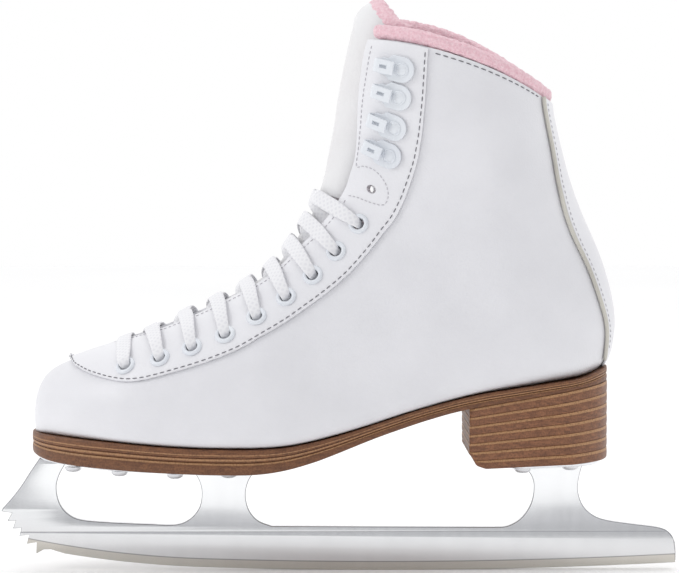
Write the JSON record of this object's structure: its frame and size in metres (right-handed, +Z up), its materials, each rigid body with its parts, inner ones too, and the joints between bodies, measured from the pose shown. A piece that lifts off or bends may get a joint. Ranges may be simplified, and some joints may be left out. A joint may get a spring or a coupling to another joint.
{
  "type": "ice skate",
  "caption": "Left figure skate: white lace-up leather boot with open hooks, fleece collar, stacked sole and heel, and a chrome blade with toe picks.",
  "frame": {"origin": "Middle of the skate's length and width at the lowest point of the runner.", "axes": "+X from the toe to the heel, +Y towards the inner side of the left foot, +Z up."},
  "size_m": [0.2959, 0.0867, 0.2492],
  "materials": {
    "blade_steel": "mirror polish, ground along the edge",
    "plate_steel": "polished",
    "screw_steel": "satin",
    "sole_dark": "lacquered edge",
    "sole_light": "lacquered edge",
    "heel_stack": "lacquered, lighter line in each lift",
    "shank_steel": "plain",
    "insole_board": "pressed fibre",
    "footbed": "brushed knit over foam",
    "upper_leather": "smooth, satin",
    "facing_leather": "smooth, satin",
    "piping": "satin",
    "stiffener": "resin-stiffened cloth",
    "foam": "closed-cell foam",
    "fleece": "brushed pile",
    "tongue_leather": "smooth, satin",
    "fitting_white": "gloss enamel",
    "lace": "flat tubular braid",
    "aglet": "clear film over the braid"
  },
  "bodies": {
    "boot": {"blade": "blade_steel", "toe_plate": "plate_steel", "heel_plate": "plate_steel", "toe_plate_screws": "screw_steel", "heel_plate_screws": "screw_steel", "outsole": "sole_dark", "midsole": "sole_light", "heel_lifts": "heel_stack", "shank": "shank_steel", "insole_board": "insole_board", "footbed": "footbed", "upper": "upper_leather", "facing": "facing_leather", "backstay": "facing_leather", "backstay_piping": "piping", "toe_box": "stiffener", "heel_counter": "stiffener", "ankle_pad_lateral": "foam", "ankle_pad_medial": "foam", "lining_lateral": "fleece", "lining_medial": "fleece", "collar": "fleece", "tongue_lower": "tongue_leather", "eyelets_lateral": "fitting_white", "eyelets_medial": "fitting_white", "hooks_lateral": "fitting_white", "hooks_medial": "fitting_white", "hook_rivets_lateral": "fitting_white", "hook_rivets_medial": "fitting_white", "lace_laced": "lace", "lace_end_lateral": "lace", "lace_end_medial": "lace", "lace_hank_lateral": "lace", "lace_hank_medial": "lace", "aglet_lateral": "aglet", "aglet_medial": "aglet"},
    "tongue_top": {"tongue_upper": "tongue_leather", "tongue_upper_lining": "fleece"}
  },
  "joints": [
    {"name": "tongue_flex", "type": "hinge", "parent": "boot", "child": "tongue_top", "pos_m": [-0.0064, 0, 0.1732], "axis": [0, -1, 0], "range_deg": [0, 25], "stiffness_Nm_per_rad": 0.45}
  ]
}
